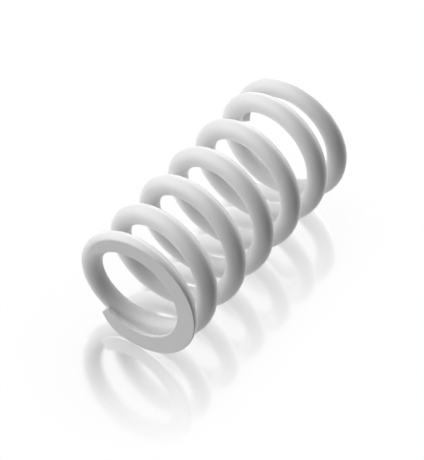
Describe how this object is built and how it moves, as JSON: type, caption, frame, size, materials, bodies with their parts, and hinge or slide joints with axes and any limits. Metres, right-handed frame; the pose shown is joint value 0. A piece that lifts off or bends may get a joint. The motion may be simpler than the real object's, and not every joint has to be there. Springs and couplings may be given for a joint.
{
  "type": "shock absorber spring",
  "caption": "Left-hand compression coil spring of round wire, closed and ground flat at both ends, coated white, with a clear bore that slides over a shock absorber's body.",
  "frame": {"origin": "on the coil's axis, at the lower ground face", "axes": "+Z along the coil's axis, from the lower ground face to the upper one; the lower tip is at 52 degrees from +X towards +Y"},
  "size_m": [0.081, 0.081, 0.162],
  "materials": {
    "powder_coat": "white satin powder coat over spring steel"
  },
  "bodies": {
    "root": {"coil_spring": "powder_coat"}
  },
  "joints": []
}
